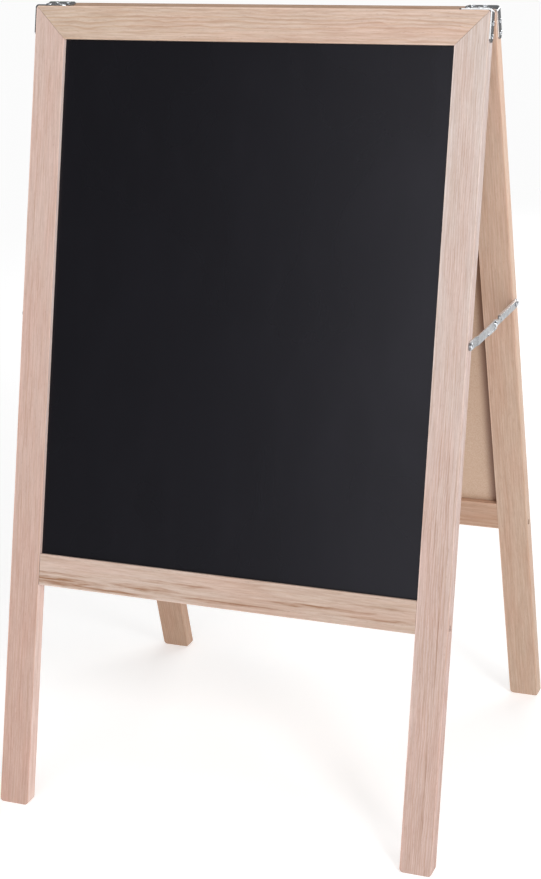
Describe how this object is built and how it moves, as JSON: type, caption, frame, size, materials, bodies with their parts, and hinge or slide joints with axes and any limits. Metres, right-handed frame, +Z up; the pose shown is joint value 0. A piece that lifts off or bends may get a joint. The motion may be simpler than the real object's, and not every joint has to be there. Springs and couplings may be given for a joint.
{
  "type": "menu chalkboard easel",
  "caption": "Folding A-frame sidewalk chalkboard: two mitred wooden frames with black panels, corner hinges and toggle braces.",
  "frame": {"origin": "on the floor, at the centre of the footprint of the open easel", "axes": "+Z up, +X to the right seen from the front, the front panel faces -Y"},
  "size_m": [0.6218, 0.5512, 1.0329],
  "materials": {
    "frame_wood": "satin clear varnish over pale pinkish-tan hardwood",
    "chalkboard": "matte black chalkboard paint on the outer face of tan hardboard",
    "zinc_plated_steel": "bright zinc plating"
  },
  "bodies": {
    "front_frame": {"front_stile_left": "frame_wood", "front_stile_right": "frame_wood", "front_rail_top": "frame_wood", "front_rail_bottom": "frame_wood", "front_board": "chalkboard", "front_rail_screw_left": "zinc_plated_steel", "front_rail_screw_right": "zinc_plated_steel", "hinge_left_front_leaf": "zinc_plated_steel", "hinge_left_front_screw_top_1": "zinc_plated_steel", "hinge_left_front_screw_top_2": "zinc_plated_steel", "hinge_left_front_screw_side_1": "zinc_plated_steel", "hinge_left_front_screw_side_2": "zinc_plated_steel", "hinge_right_front_leaf": "zinc_plated_steel", "hinge_right_front_screw_top_1": "zinc_plated_steel", "hinge_right_front_screw_top_2": "zinc_plated_steel", "hinge_right_front_screw_side_1": "zinc_plated_steel", "hinge_right_front_screw_side_2": "zinc_plated_steel", "hinge_left_pin": "zinc_plated_steel", "hinge_right_pin": "zinc_plated_steel", "brace_left_screw_front": "zinc_plated_steel", "brace_right_screw_front": "zinc_plated_steel"},
    "back_frame": {"back_stile_left": "frame_wood", "back_stile_right": "frame_wood", "back_rail_top": "frame_wood", "back_rail_bottom": "frame_wood", "back_board": "chalkboard", "back_rail_screw_left": "zinc_plated_steel", "back_rail_screw_right": "zinc_plated_steel", "hinge_left_back_leaf": "zinc_plated_steel", "hinge_left_back_screw_top_1": "zinc_plated_steel", "hinge_left_back_screw_top_2": "zinc_plated_steel", "hinge_left_back_screw_side_1": "zinc_plated_steel", "hinge_left_back_screw_side_2": "zinc_plated_steel", "hinge_right_back_leaf": "zinc_plated_steel", "hinge_right_back_screw_top_1": "zinc_plated_steel", "hinge_right_back_screw_top_2": "zinc_plated_steel", "hinge_right_back_screw_side_1": "zinc_plated_steel", "hinge_right_back_screw_side_2": "zinc_plated_steel"},
    "brace_left_front": {"brace_left_arm_front": "zinc_plated_steel", "brace_left_rivet": "zinc_plated_steel"},
    "brace_left_back": {"brace_left_arm_back": "zinc_plated_steel", "brace_left_screw_back": "zinc_plated_steel"},
    "brace_right_front": {"brace_right_arm_front": "zinc_plated_steel", "brace_right_rivet": "zinc_plated_steel"},
    "brace_right_back": {"brace_right_arm_back": "zinc_plated_steel", "brace_right_screw_back": "zinc_plated_steel"}
  },
  "joints": [
    {"name": "frame_fold", "type": "hinge", "parent": "front_frame", "child": "back_frame", "pos_m": [0, 0, 1.02915], "axis": [-1, 0, 0], "range_deg": [0, 28]},
    {"name": "brace_left_front_fold", "type": "hinge", "parent": "front_frame", "child": "brace_left_front", "pos_m": [-0.305, -0.10686, 0.63943], "axis": [1, 0, 0], "range_deg": [0, 71]},
    {"name": "brace_left_elbow_fold", "type": "hinge", "parent": "brace_left_front", "child": "brace_left_back", "pos_m": [-0.305, 0, 0.63943], "axis": [-1, 0, 0], "range_deg": [0, 169.96]},
    {"name": "brace_right_front_fold", "type": "hinge", "parent": "front_frame", "child": "brace_right_front", "pos_m": [0.305, -0.10686, 0.63943], "axis": [1, 0, 0], "range_deg": [0, 71]},
    {"name": "brace_right_elbow_fold", "type": "hinge", "parent": "brace_right_front", "child": "brace_right_back", "pos_m": [0.305, 0, 0.63943], "axis": [-1, 0, 0], "range_deg": [0, 169.96]}
  ],
  "couplings": [
    {"joint": "brace_left_front_fold", "follows": "frame_fold", "ratio": 2.534},
    {"joint": "brace_left_elbow_fold", "follows": "frame_fold", "ratio": 6.0681},
    {"joint": "brace_right_front_fold", "follows": "frame_fold", "ratio": 2.534},
    {"joint": "brace_right_elbow_fold", "follows": "frame_fold", "ratio": 6.0681}
  ]
}
